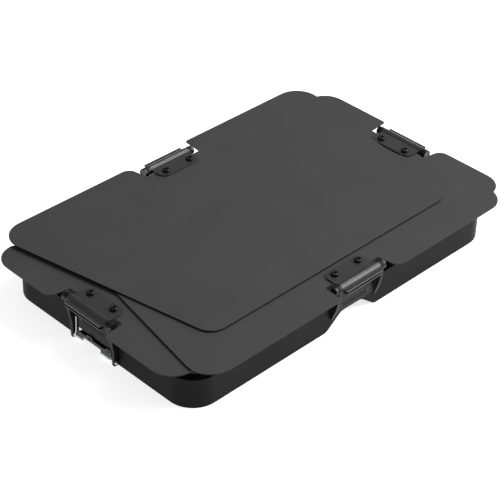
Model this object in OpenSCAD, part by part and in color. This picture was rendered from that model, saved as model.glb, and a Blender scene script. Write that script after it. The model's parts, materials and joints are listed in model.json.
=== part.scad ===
/* [Frame] */
// Outer length of the rim, along X
frame_l = 400; // [380:1:440]
// Outer width of the rim, along Y
frame_w = 247.2; // [240:0.1:260]
// Height of the rim's wall
frame_h = 31; // [29:0.5:34]
// Outer radius of the rim's corners
frame_r = 27; // [20:1:40]
// Thickness of the rim's sheet
wall_t = 2; // [1.5:0.1:2.5]
// Width of the lip folded inward along the top of the wall
lip_w = 9; // [6:0.5:11]
// Height of the cut-out in the bottom edge under each hinge
relief_h = 15; // [12:0.5:16]
// Half width of that cut-out at its top
relief_top = 13.5; // [10:0.5:18]
// Half width of that cut-out at the bottom edge
relief_foot = 32.5; // [32:0.5:40]

/* [Leaves] */
// Thickness of a leaf's sheet
leaf_t = 1; // [0.8:0.1:1.2]
// Height of the top face of the left and right leaves, which lie lowest
side_leaf_z = 47.8; // [47:0.1:49]
// Rise from one layer of the stack to the next
layer_rise = 1.85; // [1.7:0.05:2.2]
// Half width of the long leaves at the hinge edge
long_half = 204.5; // [200:0.5:206]
// Overhang of the long leaves beyond the wall
long_over = 18.9; // [17:0.1:20]
// Inward lean of a long leaf's side edges, in degrees
long_lean = 11.1; // [9:0.1:13]
// Depth of the back leaf, which lies on top
back_depth = 243.5; // [235:0.5:246]
// Depth of the front leaf
front_depth = 158.5; // [150:0.5:160]
// Distance of the side leaves' edges inside the wall's outer face
side_inset = 2.1; // [2:0.1:6]
// Overhang of the left and right leaves beyond the wall
side_over = 20.6; // [19:0.1:22]
// Depth of the left and right leaves
side_depth = 124; // [110:1:128]

/* [Hinges] */
// Half length of the hinge barrel
barrel_half = 25; // [22:0.5:27]
// Outer radius of the hinge barrel
barrel_r = 4.6; // [4.4:0.1:4.8]
// Radius of the pivot pin
pin_r = 2.8; // [2.4:0.1:2.9]
// Distance of the hinge axis inward from the leaf's hinge edge
axis_in = 14.1; // [13.8:0.1:14.3]
// Depth of the hinge axis below the leaf's top face
axis_drop = 1.4; // [1.2:0.1:1.6]
// Reach of the hinge plate inward from the axis
plate_reach = 21.9; // [20:0.1:24]
// Thickness of the hinge plate
plate_t = 1.5; // [1.2:0.1:1.8]
// Half spacing of the two leaf screws
screw_u = 15.5; // [14:0.5:17]
// Distance of the leaf screws inward from the axis
screw_in = 15.1; // [14.8:0.1:16]
// Reach of the two lips outward from the axis
lip_reach = 8.7; // [7:0.1:8.9]
// Thickness of the bracket's ears
ear_t = 3.4; // [3:0.2:4.4]

/* [Latch] */
// Radius of the latch's two pins
latch_pin_r = 1; // [0.8:0.1:1.1]
// Height of the pins above the rim's bottom edge
latch_z = 3.8; // [3.6:0.1:4.2]
// Reach of the catch inward from the wall's outer face
catch_reach = 8; // [6:0.5:9]
// Height of the spring's free leg above the rim's bottom edge
spring_top = 26; // [20:0.5:30]

/* [Hidden] */
run_gap = 0.05;
pin_gap = 0.05;
washer_t = 1.5;
ear_in = barrel_half + washer_t + 2 * run_gap;
ear_out = ear_in + ear_t;
ear_r = 4.5;
head_r = 4.7;
head_l = 2.8;
tail_r = 4.2;
lip_t = 1.4;
low_lip_t = 0.9;
low_lip_drop = 3.1;
lip_half = barrel_half - 1;
back_t = 2;
m4_r = 2;
m4_head_r = 3.8;
m4_head_h = 2.8;
m4_nut_af = 7;
m4_nut_h = 3.2;
m4_hex_af = 2.5;
rivet_r = 1.6;
rivet_head_r = 3;
rivet_u = 18;
rivet_z = 24;
notch_depth = 22.5;
notch_in = 35;
notch_small = 36.3;
notch_large = 38.5;
latch_out = 2.6;
latch_t = 0.9;
face_out = back_t + 0.4;
knuckle_r = 1.9;
knuckle_left = [-22.4, -15.5];
knuckle_right = [10.5, 22];
coil_x = [-26.4, -22.9];
wire_r = 0.6;
mitre_slope = 1.4;
arc_steps = 8;
round_fn = 64;

// Name, turn about Z, distance of the wall from the centre, layer in the stack, shift along the wall
SIDES = [
    ["front", 0, frame_w / 2, 1, 1.5],
    ["right", 90, frame_l / 2, 0, -2.5],
    ["back", 180, frame_w / 2, 2, -2.5],
    ["left", 270, frame_l / 2, 0, -1]
];
PIECES = ["leaf", "hinge_plate", "leaf_screws", "leaf_nuts", "bracket",
          "pivot_pin", "friction_washers", "bracket_rivets"];

function is_long(s) = s[0] == "front" || s[0] == "back";
function is_latched(s) = s[0] == "left";
function leaf_z(s) = side_leaf_z + s[3] * layer_rise;
function axis_z(s) = leaf_z(s) - axis_drop;
function axis_out(s) = (is_long(s) ? long_over : side_over) - axis_in;
function back_top(s) = axis_z(s) - lip_reach - 1.1;
function unit(a) = a / norm(a);
function hex_r(af) = af / 2 / cos(30);

// A closed outline through the points p, with each corner rounded to its own radius in r
function fillet(a, b, c, r) =
    let (u = unit(a - b), v = unit(c - b), half = acos(u * v) / 2,
         m = b + unit(u + v) * r / sin(half), s = b + u * r / tan(half), e = b + v * r / tan(half),
         a0 = atan2(s[1] - m[1], s[0] - m[0]), raw = atan2(e[1] - m[1], e[0] - m[0]) - a0,
         turn = raw > 180 ? raw - 360 : raw < -180 ? raw + 360 : raw)
    r == 0 ? [b]
    : [for (i = [0:arc_steps]) m + r * [cos(a0 + turn * i / arc_steps), sin(a0 + turn * i / arc_steps)]];
function rounded(p, r) =
    let (n = len(p))
    [for (i = [0:n - 1]) each fillet(p[(i + n - 1) % n], p[i], p[(i + 1) % n], r[i])];

// The point where the tangent from point p touches a circle at c, on the circle's outer side
function tangent_point(p, c, r) =
    let (d = c - p, half = asin(r / norm(d)), len_t = norm(d) * cos(half),
         a = atan2(d[1], d[0]) - half)
    p + len_t * [cos(a), sin(a)];

// Stands a child made at a side: the wall's outer face on y = 0 and the outside towards -y
module at_side(s) {
    rotate([0, 0, s[1]]) translate([s[4], -s[2], 0]) children();
}

// The long sides carry the pin's head at +x, the short sides at -x
module pin_side(s) {
    mirror([is_long(s) ? 0 : 1, 0, 0]) children();
}

module hinge_line(s) {
    translate([0, -axis_out(s), axis_z(s)]) children();
}

module along_x(r, x0, x1) {
    translate([x0, 0, 0]) rotate([0, 90, 0]) cylinder(r = r, h = x1 - x0, $fn = round_fn);
}

module at_screws(s) {
    for (u = [-screw_u, screw_u])
        translate([u, screw_in - axis_out(s), leaf_z(s)]) children();
}

module rounded_block(l, w, r, h) {
    translate([-l / 2 + r, -w / 2, 0]) cube([l - 2 * r, w, h]);
    translate([-l / 2, -w / 2 + r, 0]) cube([l, w - 2 * r, h]);
    for (x = [-1, 1], y = [-1, 1])
        translate([x * (l / 2 - r), y * (w / 2 - r), 0]) cylinder(r = r, h = h, $fn = round_fn);
}

// ---- rim ----

module relief(s) {
    top = is_latched(s) ? ear_in - 0.6 : relief_top;
    foot = is_latched(s) ? ear_in - 0.4 : relief_foot;
    round_foot = is_latched(s) ? 0 : 8;
    round_top = is_latched(s) ? 2 : 8;
    far = relief_foot + 20;
    outline = rounded(
        [[-far, -5], [-far, 0], [-foot, 0], [-top, relief_h], [top, relief_h], [foot, 0], [far, 0], [far, -5]],
        [0, 0, round_foot, round_top, round_top, round_foot, 0, 0]);
    centre = is_latched(s) ? 0 : -s[4];
    translate([centre, wall_t + 1, 0]) rotate([90, 0, 0]) linear_extrude(wall_t + 2) polygon(outline);
}

module rivet_holes() {
    for (u = [-rivet_u, rivet_u])
        translate([u, wall_t + 1, rivet_z]) rotate([90, 0, 0])
            cylinder(r = rivet_r, h = wall_t + back_t + 2, $fn = round_fn);
}

module frame() {
    color("#26272a") difference() {
        rounded_block(frame_l, frame_w, frame_r, frame_h);
        translate([0, 0, -1])
            rounded_block(frame_l - 2 * wall_t, frame_w - 2 * wall_t, frame_r - wall_t, frame_h - wall_t + 1);
        translate([0, 0, frame_h - wall_t - 1])
            rounded_block(frame_l - 2 * lip_w, frame_w - 2 * lip_w, frame_r - lip_w, wall_t + 2);
        for (s = SIDES) at_side(s) {
            relief(s);
            rivet_holes();
        }
    }
}

// ---- leaves ----

function notch(o) = [
    [-notch_small, -o], [-notch_in, notch_depth - o], [notch_in, notch_depth - o], [notch_large, -o]
];
NOTCH_R = [3, 2, 2, 10];

function long_outline(depth) =
    let (lean = depth * tan(long_lean), far = depth - long_over)
    rounded(concat([[-long_half, -long_over]], notch(long_over),
                   [[long_half, -long_over], [long_half - lean, far], [lean - long_half, far]]),
            concat([24], NOTCH_R, [24, 18, 18]));

// The side leaves are mitred along the line on which the long leaves, opening further for each
// degree, stay ahead of them
function side_outline() =
    let (edge = axis_in + mitre_slope * (side_inset + long_over - axis_in), mitre_y = edge - side_over,
         side_half = frame_w / 2 - side_inset, far = side_depth - side_over,
         tip = side_half - (far - mitre_y) / mitre_slope, corner = edge - 1.3)
    rounded(concat([[-side_half, -side_over]], notch(side_over),
                   [[side_half, -side_over], [side_half, mitre_y], [tip, far], [-tip, far], [-side_half, mitre_y]]),
            concat([corner], NOTCH_R, [corner, 3, 12, 12, 3]));

module leaf(s) {
    outline = is_long(s) ? long_outline(s[0] == "back" ? back_depth : front_depth) : side_outline();
    color("#2c2d2f") difference() {
        pin_side(s) translate([0, 0, leaf_z(s) - leaf_t]) linear_extrude(leaf_t) polygon(outline);
        at_screws(s) translate([0, 0, -leaf_t - 1]) cylinder(r = m4_r + 0.1, h = leaf_t + 2, $fn = round_fn);
    }
}

// Sheet rolled round the pin: a plate on the leaf, the barrel, and two lips that point outward
module hinge_plate(s) {
    y0 = -axis_out(s);
    plate = rounded([[-barrel_half, y0], [barrel_half, y0],
                     [barrel_half, y0 + plate_reach], [-barrel_half, y0 + plate_reach]], [0, 0, 8, 8]);
    lip = rounded([[-lip_half, y0], [-lip_half, y0 - lip_reach], [lip_half, y0 - lip_reach], [lip_half, y0]],
                  [0, 1.5, 1.5, 0]);
    color("#2a2b2d") difference() {
        union() {
            translate([0, 0, leaf_z(s)]) linear_extrude(plate_t) polygon(plate);
            translate([0, 0, leaf_z(s) + 0.1 - lip_t]) linear_extrude(lip_t) polygon(lip);
            translate([0, 0, axis_z(s) - low_lip_drop]) linear_extrude(low_lip_t) polygon(lip);
            hinge_line(s) along_x(barrel_r, -barrel_half, barrel_half);
        }
        hinge_line(s) along_x(pin_r + pin_gap, -barrel_half - 1, barrel_half + 1);
        at_screws(s) translate([0, 0, -1]) cylinder(r = m4_r + 0.1, h = plate_t + 2, $fn = round_fn);
    }
}

module leaf_screws(s) {
    rim_h = 1.2;
    color("#1b1b1c") at_screws(s) difference() {
        union() {
            translate([0, 0, -leaf_t - m4_nut_h - 0.6])
                cylinder(r = m4_r, h = leaf_t + m4_nut_h + 0.6 + plate_t + 1, $fn = round_fn);
            translate([0, 0, plate_t]) cylinder(r = m4_head_r, h = rim_h, $fn = round_fn);
            translate([0, 0, plate_t + rim_h])
                cylinder(r1 = m4_head_r, r2 = m4_head_r - 1.2, h = m4_head_h - rim_h, $fn = round_fn);
        }
        translate([0, 0, plate_t + m4_head_h - 1.6]) cylinder(r = hex_r(m4_hex_af), h = 3, $fn = 6);
    }
}

module leaf_nuts(s) {
    color("#1b1b1c") at_screws(s) translate([0, 0, -leaf_t - m4_nut_h]) difference() {
        cylinder(r = hex_r(m4_nut_af), h = m4_nut_h, $fn = 6);
        translate([0, 0, -1]) cylinder(r = m4_r, h = m4_nut_h + 2, $fn = round_fn);
    }
}

// ---- brackets on the rim ----

// Ear's side view, x outward from the wall and y up, with its round top about the hinge axis
function ear_outline(s) =
    let (axis = [axis_out(s), axis_z(s)], knee = [9, 38], touch = tangent_point(knee, axis, ear_r - 0.05),
         foot = is_latched(s) ? [[0, 0], [4.6, 0], [4.8, 16]] : [[0, 13.5], [1.8, 13.5]])
    concat(foot, [[6.8, 27], knee, touch, axis, axis - [3, 1], [0, back_top(s) + 2]]);

module ear(s) {
    rotate([90, 0, 90]) linear_extrude(ear_t) mirror([1, 0]) polygon(ear_outline(s));
    hinge_line(s) along_x(ear_r, 0, ear_t);
}

module bracket(s) {
    low = is_latched(s) ? relief_h - 1.5 : relief_h + 2.5;
    color("#242527") difference() {
        union() {
            for (x = [-ear_out, ear_in]) translate([x, 0, 0]) ear(s);
            translate([-ear_out, -back_t, low]) cube([2 * ear_out, back_t, back_top(s) - low]);
        }
        hinge_line(s) along_x(pin_r, -ear_out - 1, ear_out + 1);
        rivet_holes();
        if (is_latched(s)) latch_line() along_x(latch_pin_r, -ear_out - 1, ear_out + 1);
    }
}

// Headed at one end and riveted over at the other
module pivot_pin(s) {
    edge = 0.3;
    color("#1f2022") hinge_line(s) pin_side(s) {
        along_x(pin_r, -ear_out, ear_out);
        along_x(tail_r, -ear_out - head_l, -ear_out);
        along_x(head_r, ear_out, ear_out + head_l - edge);
        translate([ear_out + head_l - edge, 0, 0]) rotate([0, 90, 0])
            cylinder(r1 = head_r, r2 = head_r - edge, h = edge, $fn = round_fn);
    }
}

module friction_washers(s) {
    color("#3a3a3c") hinge_line(s) for (x = [-ear_in, ear_in - washer_t]) difference() {
        along_x(barrel_r - 0.3, x, x + washer_t);
        along_x(pin_r, x - 1, x + washer_t + 1);
    }
}

module bracket_rivets() {
    color("#2a2b2d") for (u = [-rivet_u, rivet_u]) translate([u, 0, rivet_z]) rotate([90, 0, 0]) {
        translate([0, 0, -wall_t]) cylinder(r = rivet_r, h = wall_t + back_t, $fn = round_fn);
        translate([0, 0, -wall_t - 1.2]) cylinder(r = rivet_head_r, h = 1.2, $fn = round_fn);
    }
}

// ---- latch between the left bracket's feet ----

module latch_line() {
    translate([0, -latch_out, latch_z]) children();
}

module latch_pins() {
    color("#c9cbcd") latch_line() for (end = [[-1, knuckle_left[1] - 0.5], [1, knuckle_right[0] + 0.5]]) {
        along_x(latch_pin_r, min(end[0] * ear_out, end[1]), max(end[0] * ear_out, end[1]));
        along_x(1.9, end[0] > 0 ? ear_out : -ear_out - 0.8, end[0] > 0 ? ear_out + 0.8 : -ear_out);
    }
}

// A coil beside the left ear, with one leg that stands against the bracket's back plate
module latch_spring() {
    color("#d4d6d8") {
        latch_line() difference() {
            along_x(latch_pin_r + 0.2 + 2 * wire_r, coil_x[0], coil_x[1]);
            along_x(latch_pin_r + 0.2, coil_x[0] - 1, coil_x[1] + 1);
        }
        translate([coil_x[1] - wire_r, -back_t - 0.3 - wire_r, latch_z + latch_pin_r + 0.3])
            cylinder(r = wire_r, h = spring_top - latch_z - latch_pin_r - 0.3, $fn = 24);
    }
}

// Face of the latch, seen from outside: two feet on the knuckles, an arch between them and two lugs
module latch_face() {
    left = knuckle_left[0];
    outline = rounded(
        [[left, latch_z], [knuckle_left[1], latch_z], [-14, 6.6], [-7, 8.6], [-2, 8.6], [0, 6.8], [9.4, 6.8],
         [knuckle_right[0], latch_z], [knuckle_right[1], latch_z], [24, 6.5], [24, 13], [16.5, 13],
         [16.5, 10.4], [-1.5, 10.4], [-1.5, 13], [-9, 13], [-9, 10.4], [left, 10.4]],
        [0, 0, 2, 2, 2, 1, 1, 0, 0, 1, 1.4, 1.4, 0.5, 0.5, 1.4, 1.4, 0.5, 1]);
    translate([0, -face_out, 0]) rotate([90, 0, 0]) linear_extrude(latch_t) difference() {
        polygon(outline);
        for (x = [-5.25, 20.25]) translate([x, 10.4]) circle(r = 1.3, $fn = 32);
    }
}

module latch_plate() {
    catch_w = 38;
    color("#d0d2d4") difference() {
        union() {
            latch_line() for (k = [knuckle_left, knuckle_right]) along_x(knuckle_r, k[0], k[1]);
            latch_face();
            translate([-20, -face_out, 9.4 - 0.2]) cube([catch_w, face_out + catch_reach, latch_t]);
            translate([-20, catch_reach - latch_t, 6.4]) cube([catch_w, latch_t, 3]);
        }
        latch_line() along_x(latch_pin_r + pin_gap, -ear_in, ear_in);
    }
}

module fixed_catches() {
    color("#c9cbcd") for (y = [-60, 60])
        translate([frame_l / 2 - wall_t, y, 0]) {
            translate([-1.5, -8, 2]) cube([1.5, 16, 12]);
            translate([-8, -8, 2]) cube([8, 16, 1.5]);
        }
}

frame();
for (s = SIDES) at_side(s) {
    leaf(s);
    hinge_plate(s);
    leaf_screws(s);
    leaf_nuts(s);
    bracket(s);
    pivot_pin(s);
    friction_washers(s);
    bracket_rivets();
}
at_side(SIDES[3]) {
    latch_pins();
    latch_spring();
    latch_plate();
}
fixed_catches();
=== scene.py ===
import json
from math import cos, pi, radians, sin

import bmesh
import bpy
from mathutils import Matrix, Vector


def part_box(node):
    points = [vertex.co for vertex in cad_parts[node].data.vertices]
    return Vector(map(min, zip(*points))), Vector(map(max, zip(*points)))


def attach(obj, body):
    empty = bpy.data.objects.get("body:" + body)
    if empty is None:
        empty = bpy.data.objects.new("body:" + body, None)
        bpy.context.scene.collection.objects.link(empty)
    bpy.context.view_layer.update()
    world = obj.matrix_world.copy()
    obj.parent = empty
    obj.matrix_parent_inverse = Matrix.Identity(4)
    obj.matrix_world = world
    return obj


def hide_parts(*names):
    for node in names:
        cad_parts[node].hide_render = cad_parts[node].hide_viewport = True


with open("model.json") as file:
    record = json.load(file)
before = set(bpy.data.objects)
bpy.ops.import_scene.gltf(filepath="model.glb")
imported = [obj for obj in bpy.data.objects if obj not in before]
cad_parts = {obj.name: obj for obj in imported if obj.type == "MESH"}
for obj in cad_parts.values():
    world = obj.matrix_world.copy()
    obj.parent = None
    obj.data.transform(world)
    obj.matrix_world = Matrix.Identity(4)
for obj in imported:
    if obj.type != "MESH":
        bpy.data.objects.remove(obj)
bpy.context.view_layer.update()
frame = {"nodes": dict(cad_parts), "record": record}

MM = 0.001
SIDES = ("front", "right", "back", "left")

# Sizes that the boxes of the CAD nodes don't give
SCREW_HEAD_R = 3.8 * MM
SCREW_HEAD_H = 2.8 * MM
SCREW_SHANK_R = 2.0 * MM
SOCKET_AF = 3.0 * MM
NUT_AF = 7.0 * MM
PIN_R = 2.8 * MM
PIN_HEAD_R = 4.7 * MM
PIN_HEAD_H = 2.8 * MM
PIN_TAIL_R = 4.2 * MM
SPRING_R = 2.4 * MM
WIRE_R = 0.6 * MM

# Width of the rounded edges in millimetres, by the end of the node's name
EDGE = {"frame": 0.5, "leaf": 0.22, "hinge_plate": 0.35, "bracket": 0.45, "latch_plate": 0.2}
EDGE_OTHER = 0.15


# ---- materials ----

def new_material(name):
    """A material, its Principled shader, and a function that adds a node with its inputs set or linked."""
    mat = bpy.data.materials.new(name)
    mat.use_nodes = True
    tree = mat.node_tree

    def add(kind, inputs=None, **settings):
        node = tree.nodes.new(kind)
        for key, value in settings.items():
            setattr(node, key, value)
        for key, value in (inputs or {}).items():
            if isinstance(value, bpy.types.NodeSocket):
                tree.links.new(value, node.inputs[key])
            else:
                node.inputs[key].default_value = value
        return node

    return mat, tree.nodes["Principled BSDF"], add


def link(mat, socket, target):
    mat.node_tree.links.new(socket, target)


def speckle(add, size, detail=2.0, stretch=(1, 1, 1)):
    """Noise from 0 to 1 whose grains are about size metres across, stretched along the axes given."""
    place = add("ShaderNodeTexCoord").outputs["Object"]
    scaled = add("ShaderNodeMapping", {"Vector": place, "Scale": stretch}).outputs["Vector"]
    return add("ShaderNodeTexNoise", {"Vector": scaled, "Scale": 1 / size, "Detail": detail}).outputs["Fac"]


def between(add, fac, low, high, start=0.3, end=0.7):
    """fac, from start to end, taken to low to high."""
    return add("ShaderNodeMapRange", {"Value": fac, "From Min": start, "From Max": end,
                                      "To Min": low, "To Max": high}).outputs["Result"]


def tint(add, fac, dark, light):
    ramp = add("ShaderNodeValToRGB", {"Fac": fac})
    ramp.color_ramp.elements[0].position = 0.3
    ramp.color_ramp.elements[0].color = (*dark, 1)
    ramp.color_ramp.elements[1].position = 0.7
    ramp.color_ramp.elements[1].color = (*light, 1)
    return ramp.outputs["Color"]


def shade(color, factor):
    return tuple(c * factor for c in color)


def powder_coat(name, color, roughness=0.5, specular=0.3, sides=1.0):
    """Fine-textured powder coat: orange-peel bump, a little mottling, and faint rubbed patches.
    Faces that stand upright with every leaf shut have sides times the colour: painted shade on the cut edges."""
    mat, shader, add = new_material(name)
    patches = speckle(add, 45 * MM, detail=6)
    grain = speckle(add, 0.5 * MM)
    peel = speckle(add, 1.6 * MM)
    rubs = speckle(add, 7 * MM, detail=8)
    mottling = between(add, grain, -0.12, 0.12)
    mixed = add("ShaderNodeMath", {0: patches, 1: mottling}, operation="ADD").outputs[0]
    paint = tint(add, mixed, shade(color, 0.95), shade(color, 1.06))
    # Painted shade: faces that stand upright, such as the leaves' cut edges, get sides times the colour
    normal = add("ShaderNodeTexCoord").outputs["Normal"]
    facing = add("ShaderNodeSeparateXYZ", {"Vector": normal}).outputs["Z"]
    flat = add("ShaderNodeMath", {0: facing}, operation="ABSOLUTE").outputs[0]
    flatness = between(add, flat, 0, 1, 0.2, 0.9)
    painted_side_shade = (*shade(color, sides), 1)
    paint = add("ShaderNodeMixRGB", {"Fac": flatness, "Color1": painted_side_shade, "Color2": paint}).outputs["Color"]
    link(mat, paint, shader.inputs["Base Color"])
    rough = add("ShaderNodeMath", {0: between(add, patches, roughness - 0.03, roughness + 0.03),
                                   1: between(add, rubs, -0.02, 0.02)}, operation="ADD").outputs[0]
    link(mat, rough, shader.inputs["Roughness"])
    fine = add("ShaderNodeBump", {"Height": grain, "Strength": 0.25, "Distance": 0.04 * MM}).outputs["Normal"]
    bump = add("ShaderNodeBump", {"Height": peel, "Strength": 0.2, "Distance": 0.08 * MM, "Normal": fine})
    link(mat, bump.outputs["Normal"], shader.inputs["Normal"])
    shader.inputs["Specular IOR Level"].default_value = specular
    return mat


def dark_steel(name, color, roughness=0.34):
    """Black oxide on machined steel: dull metal with fine turning marks and lighter worn spots."""
    mat, shader, add = new_material(name)
    worn = speckle(add, 1.4 * MM, detail=6)
    marks = speckle(add, 0.25 * MM, stretch=(1, 1, 6))
    link(mat, tint(add, worn, color, shade(color, 1.9)), shader.inputs["Base Color"])
    link(mat, between(add, worn, roughness - 0.08, roughness + 0.1), shader.inputs["Roughness"])
    bump = add("ShaderNodeBump", {"Height": marks, "Strength": 0.2, "Distance": 0.02 * MM})
    link(mat, bump.outputs["Normal"], shader.inputs["Normal"])
    shader.inputs["Metallic"].default_value = 0.85
    return mat


def bright_steel(name, color, roughness=0.24, grain=(1, 0.08, 1), painted_shade_above=None):
    """Bright zinc plate or drawn wire: streaks along the rolling direction over a faint spangle.
    Above a given height, with the catch shut, the plate is much darker: painted shade on the plate's face
    under the bracket."""
    mat, shader, add = new_material(name)
    spangle = speckle(add, 4 * MM, detail=4)
    streaks = speckle(add, 0.3 * MM, detail=3, stretch=grain)
    plate = tint(add, spangle, shade(color, 0.84), color)
    if painted_shade_above:
        # Painted shade: the plate is darkened above the given height, where it lies in shadow under the
        # bracket
        place = add("ShaderNodeTexCoord").outputs["Object"]
        height = add("ShaderNodeSeparateXYZ", {"Vector": place}).outputs["Z"]
        painted_shade_mask = between(add, height, 0, 1, painted_shade_above - 0.5 * MM, painted_shade_above + 0.5 * MM)
        dull = (*shade(color, 0.09), 1)
        plate = add("ShaderNodeMixRGB", {"Fac": painted_shade_mask, "Color1": plate, "Color2": dull}).outputs["Color"]
    link(mat, plate, shader.inputs["Base Color"])
    link(mat, between(add, streaks, roughness - 0.07, roughness + 0.1), shader.inputs["Roughness"])
    bump = add("ShaderNodeBump", {"Height": streaks, "Strength": 0.25, "Distance": 0.02 * MM})
    link(mat, bump.outputs["Normal"], shader.inputs["Normal"])
    shader.inputs["Metallic"].default_value = 1.0
    return mat


MATERIALS = {
    # sides=0.2 paints shade on the leaves' upright cut edges
    "powder_coat": powder_coat("powder_coat", (0.052, 0.052, 0.0525), specular=0.22, sides=0.2),
    "frame_black": powder_coat("frame_black", (0.0078, 0.0072, 0.0070), specular=0.08),
    "bracket_black": powder_coat("bracket_black", (0.0078, 0.0075, 0.0074), roughness=0.4, specular=0.16),
    "hinge_black": powder_coat("hinge_black", (0.029, 0.029, 0.0293), roughness=0.27, specular=0.55),
    "black_oxide": dark_steel("black_oxide", (0.024, 0.024, 0.0245), roughness=0.24),
    "washer_steel": dark_steel("washer_steel", (0.035, 0.035, 0.037), roughness=0.28),
    # The latch plate above 5.4 mm carries painted shade
    "zinc_plate": bright_steel("zinc_plate", (0.66, 0.68, 0.70), painted_shade_above=5.4 * MM),
    "spring_wire": bright_steel("spring_wire", (0.72, 0.73, 0.74), roughness=0.18),
}
SLOT_OF = {part["node"]: part["material_slot"] for part in frame["record"]["subparts"]}


# ---- carried-over CAD nodes ----

def finish_node(name, obj):
    slot = SLOT_OF[name]
    obj.data.materials.clear()
    obj.data.materials.append(MATERIALS[slot])
    weld = obj.modifiers.new("weld", "WELD")
    weld.merge_threshold = 0.002 * MM
    bevel = obj.modifiers.new("edges", "BEVEL")
    widths = [w for end, w in EDGE.items() if name.endswith(end)]
    bevel.width = (widths[0] if widths else EDGE_OTHER) * MM
    bevel.segments = 2
    bevel.limit_method = "ANGLE"
    bevel.angle_limit = radians(30)
    normals = obj.modifiers.new("normals", "WEIGHTED_NORMAL")
    normals.mode = "FACE_AREA"
    normals.weight = 100
    for polygon in obj.data.polygons:
        polygon.use_smooth = True


# ---- turned and bent pieces ----

def round_edge(radius):
    return lambda turn: radius


def hexagon(across_flats):
    return lambda turn: across_flats / 2 / cos(turn % (pi / 3) - pi / 6)


def smaller(a, b):
    return lambda turn: min(a(turn), b(turn))


def turned(bm, rings, place, sides=72):
    """A closed solid of rings (height, radius as a function of the turn) about place's Z axis."""
    loops = []
    for height, radius in rings:
        loop = []
        for i in range(sides):
            turn = 2 * pi * i / sides
            point = Vector((radius(turn) * cos(turn), radius(turn) * sin(turn), height))
            loop.append(bm.verts.new(place @ point))
        loops.append(loop)
    for low, high in zip(loops, loops[1:]):
        for i in range(sides):
            k = (i + 1) % sides
            bm.faces.new((low[i], low[k], high[k], high[i]))
    bm.faces.new(list(reversed(loops[0])))
    bm.faces.new(loops[-1])


def tube(bm, points, radius, sides=16):
    """A closed round bar along points."""
    loops = []
    side = None
    for i, point in enumerate(points):
        ahead = (points[min(i + 1, len(points) - 1)] - points[max(i - 1, 0)]).normalized()
        side = (ahead.orthogonal() if side is None else side - side.dot(ahead) * ahead).normalized()
        up = ahead.cross(side)
        turns = [2 * pi * k / sides for k in range(sides)]
        loops.append([bm.verts.new(point + radius * (cos(turn) * side + sin(turn) * up)) for turn in turns])
    for low, high in zip(loops, loops[1:]):
        for i in range(sides):
            k = (i + 1) % sides
            bm.faces.new((low[i], low[k], high[k], high[i]))
    bm.faces.new(list(reversed(loops[0])))
    bm.faces.new(loops[-1])


def piece(name, bm, body, node):
    """The finished bmesh as an object that rides on body and stands for the CAD node."""
    bmesh.ops.recalc_face_normals(bm, faces=bm.faces)
    mesh = bpy.data.meshes.new(name)
    bm.to_mesh(mesh)
    bm.free()
    mesh.set_sharp_from_angle(angle=radians(32))
    mesh.materials.append(MATERIALS[SLOT_OF[node]])
    for polygon in mesh.polygons:
        polygon.use_smooth = True
    obj = bpy.data.objects.new(name, mesh)
    bpy.context.collection.objects.link(obj)
    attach(obj, body)
    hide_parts(node)
    return obj


def pair_centres(node, margin):
    """The places of a side's two screws or nuts: the middles of the round ends of the node's box."""
    low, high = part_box(node)
    middle = (low + high) / 2
    along = 0 if high.x - low.x > high.y - low.y else 1
    places = []
    for end in (low[along] + margin, high[along] - margin):
        centre = middle.copy()
        centre[along] = end
        places.append(Matrix.Translation(Vector((centre.x, centre.y, 0))))
    return places, low.z, high.z


def dome(foot, top, edge_r, crown_r, steps=6):
    """Rings of a button head from its edge to its flat crown."""
    rings = []
    for i in range(steps + 1):
        part = i / steps
        height = foot + (top - foot) * sin(part * pi / 2)
        radius = edge_r + (crown_r - edge_r) * (1 - cos(part * pi / 2))
        rings.append((height, round_edge(radius)))
    return rings


def button_screw(bm, place, bottom, top):
    seat = top - SCREW_HEAD_H
    point = 0.4 * MM
    edge = 0.15 * MM
    shoulder = seat + 1.5 * MM
    crown_r = 2.8 * MM
    rings = [(bottom, round_edge(SCREW_SHANK_R - point)), (bottom + point, round_edge(SCREW_SHANK_R)),
             (seat, round_edge(SCREW_SHANK_R)), (seat, round_edge(SCREW_HEAD_R - edge)),
             (seat + edge, round_edge(SCREW_HEAD_R)), (shoulder, round_edge(SCREW_HEAD_R))]
    rings += dome(shoulder, top, SCREW_HEAD_R, crown_r)[1:]
    rings += [(top, hexagon(SOCKET_AF + 2 * edge)), (top - edge, hexagon(SOCKET_AF)),
              (top - 1.4 * MM, hexagon(SOCKET_AF)), (top - 1.7 * MM, round_edge(0.1 * MM))]
    turned(bm, rings, place)


def nut(bm, place, bottom, top):
    body = hexagon(NUT_AF)
    rim = 0.4 * MM
    bore = round_edge(SCREW_SHANK_R)
    face = round_edge(NUT_AF / 2 - 0.1 * MM)
    chamfer = smaller(body, round_edge(NUT_AF / 2 + 0.35 * MM))
    rings = [(bottom, bore), (bottom, face), (bottom + rim, chamfer), (bottom + 2 * rim, body),
             (top - 2 * rim, body), (top - rim, chamfer), (top, face), (top, bore)]
    turned(bm, rings, place)


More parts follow.
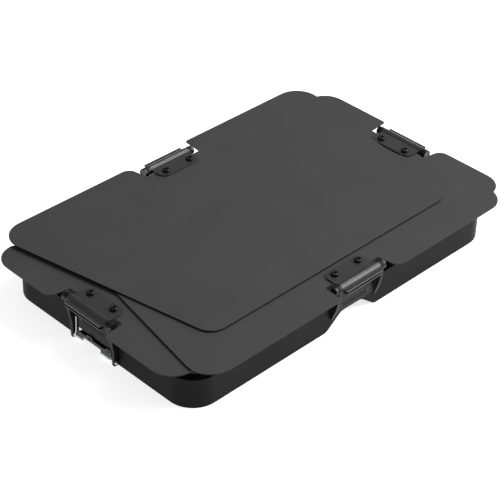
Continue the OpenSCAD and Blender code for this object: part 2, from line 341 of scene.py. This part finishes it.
def pivot_pin(bm, node, head_positive):
    """A pin with a plain head and a riveted tail, along the longer side of its box."""
    low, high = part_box(node)
    middle = (low + high) / 2
    along = Vector((1, 0, 0)) if high.x - low.x > high.y - low.y else Vector((0, 1, 0))
    axis = along if head_positive else -along
    length = (high - low).dot(along)
    place = Matrix.Translation(middle - axis * length / 2) @ axis.to_track_quat("Z", "Y").to_matrix().to_4x4()
    seat = length - PIN_HEAD_H
    edge = 0.3 * MM
    crown = 0.25 * MM
    rings = [(0, round_edge(PIN_TAIL_R - 1.4 * MM)), (crown, round_edge(PIN_TAIL_R - 2 * edge)),
             (crown + edge, round_edge(PIN_TAIL_R)), (PIN_HEAD_H, round_edge(PIN_TAIL_R)),
             (PIN_HEAD_H, round_edge(PIN_R)), (seat, round_edge(PIN_R)),
             (seat, round_edge(PIN_HEAD_R - 0.2 * MM)), (seat + 0.2 * MM, round_edge(PIN_HEAD_R)),
             (length - edge, round_edge(PIN_HEAD_R)), (length - edge / 3, round_edge(PIN_HEAD_R - edge / 2)),
             (length, round_edge(PIN_HEAD_R - edge)), (length, round_edge(PIN_HEAD_R - 1.2 * MM)),
             (length - 0.1 * MM, round_edge(PIN_HEAD_R - 1.5 * MM))]
    turned(bm, rings, place)


def latch_spring():
    """A coil round the latch's pin, whose leg rises and leans against the bracket's back plate."""
    low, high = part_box("latch_spring")
    centre = Vector((low.x + SPRING_R, 0, low.z + SPRING_R))
    mean_r = SPRING_R - WIRE_R
    turns = 2
    steps = 28
    far, near = high.y - WIRE_R, low.y + WIRE_R
    points = [Vector((centre.x + mean_r + 4 * MM, far, centre.z + mean_r * 0.2)),
              Vector((centre.x + mean_r + 1 * MM, far, centre.z + mean_r * 0.1))]
    last = turns * steps + steps // 2
    for i in range(last + 1):
        angle = -2 * pi * i / steps
        along = Vector((0, far + (near - far) * (i / last), 0))
        points.append(centre + Vector((mean_r * cos(angle), 0, mean_r * sin(angle))) + along)
    points += [Vector((centre.x - mean_r, near, centre.z + 1.5 * MM)),
               Vector((centre.x - mean_r * 0.7, near, centre.z + 4 * MM)),
               Vector((centre.x - mean_r * 0.3, near, centre.z + 8 * MM)),
               Vector((centre.x - 0.3 * MM, near, high.z - 3 * MM)),
               Vector((centre.x - 0.3 * MM, near, high.z - WIRE_R))]
    bm = bmesh.new()
    tube(bm, points, WIRE_R)
    return piece("spring", bm, "rim", "latch_spring")


for name, obj in frame["nodes"].items():
    finish_node(name, obj)

for side in SIDES:
    bm = bmesh.new()
    places, bottom, top = pair_centres(f"{side}_leaf_screws", SCREW_HEAD_R)
    for place in places:
        button_screw(bm, place, bottom, top)
    piece(f"{side}_button_screws", bm, f"{side}_flap", f"{side}_leaf_screws")

    bm = bmesh.new()
    nut_low, nut_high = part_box(f"{side}_leaf_nuts")
    for place in places:
        nut(bm, place, nut_low.z, nut_high.z)
    piece(f"{side}_hex_nuts", bm, f"{side}_flap", f"{side}_leaf_nuts")

    bm = bmesh.new()
    pivot_pin(bm, f"{side}_pivot_pin", side in ("front", "left"))
    piece(f"{side}_hinge_pin", bm, "rim", f"{side}_pivot_pin")

latch_spring()


# ---- camera, floor and light ----

TARGET = Vector((-17.9, -9.3, 25.0)) * MM
DISTANCE = 1.5735
azimuth, elevation, roll = radians(-45.6), radians(36), radians(1.66)
away = Vector((sin(azimuth) * cos(elevation), -cos(azimuth) * cos(elevation), sin(elevation)))
camera_data = bpy.data.cameras.new("camera")
camera_data.lens = 119.8
camera_data.sensor_width = 36
camera = bpy.data.objects.new("camera", camera_data)
bpy.context.collection.objects.link(camera)
facing = away.to_track_quat("Z", "Y").to_matrix().to_4x4()
camera.matrix_world = Matrix.Translation(TARGET + away * DISTANCE) @ facing @ Matrix.Rotation(roll, 4, "Z")
bpy.context.scene.camera = camera
bpy.context.scene.view_settings.view_transform = "Standard"


def floor_paint(name, glow):
    """White studio floor, lit from below by as much as glow, so that it stays white to its edges."""
    mat, shader, _ = new_material(name)
    shader.inputs["Base Color"].default_value = (0.93, 0.93, 0.93, 1)
    shader.inputs["Roughness"].default_value = 0.9
    shader.inputs["Specular IOR Level"].default_value = 0.1
    shader.inputs["Emission Color"].default_value = (1, 1, 1, 1)
    shader.inputs["Emission Strength"].default_value = glow
    return mat


def rectangle(half_x, half_y):
    return [(-half_x, -half_y, 0), (half_x, -half_y, 0), (half_x, half_y, 0), (-half_x, half_y, 0)]


# The floor inside the rim, and a patch behind the latch, don't glow, so that the closed rim is dark inside
rim_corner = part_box("frame")[1]
inside = 28 * MM
reach = 6
floor_mesh = bpy.data.meshes.new("floor")
floor_mesh.from_pydata(rectangle(reach, reach) + rectangle(rim_corner.x - inside, rim_corner.y - inside), [],
                       [(0, 1, 5, 4), (1, 2, 6, 5), (2, 3, 7, 6), (3, 0, 4, 7), (4, 5, 6, 7)])
floor_mesh.materials.append(floor_paint("studio_floor", 0.75))
floor_mesh.materials.append(floor_paint("floor_inside_rim", 0.0))
floor_mesh.polygons[4].material_index = 1
floor = bpy.data.objects.new("floor", floor_mesh)
bpy.context.collection.objects.link(floor)
latch_low, latch_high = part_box("latch_plate")
shadow_mesh = bpy.data.meshes.new("floor_behind_latch")
shadow_half_x = inside / 2 - 2 * MM
shadow_half_y = (latch_high.y - latch_low.y) / 2 + 3 * MM
shadow_mesh.from_pydata(rectangle(shadow_half_x, shadow_half_y), [], [(0, 1, 2, 3)])
shadow_mesh.materials.append(floor_mesh.materials[1])
shadow = bpy.data.objects.new("floor_behind_latch", shadow_mesh)
shadow.location = (-rim_corner.x + inside / 2, (latch_low.y + latch_high.y) / 2, 0.02 * MM)
bpy.context.collection.objects.link(shadow)


def softbox(name, place, size, power):
    light = bpy.data.lights.new(name, "AREA")
    light.energy = power
    light.size = size
    lamp = bpy.data.objects.new(name, light)
    bpy.context.collection.objects.link(lamp)
    lamp.matrix_world = Matrix.Translation(place) @ place.to_track_quat("Z", "Y").to_matrix().to_4x4()


softbox("key", Vector((1.5, -1.15, 1.15)), 1.5, 42)
softbox("top", Vector((1.1, 0.1, 2.2)), 1.0, 24)

world = bpy.data.worlds.new("studio")
bpy.context.scene.world = world
world.use_nodes = True
world.node_tree.nodes["Background"].inputs["Color"].default_value = (1, 1, 1, 1)
world.node_tree.nodes["Background"].inputs["Strength"].default_value = 0.3

bpy.context.view_layer.update()
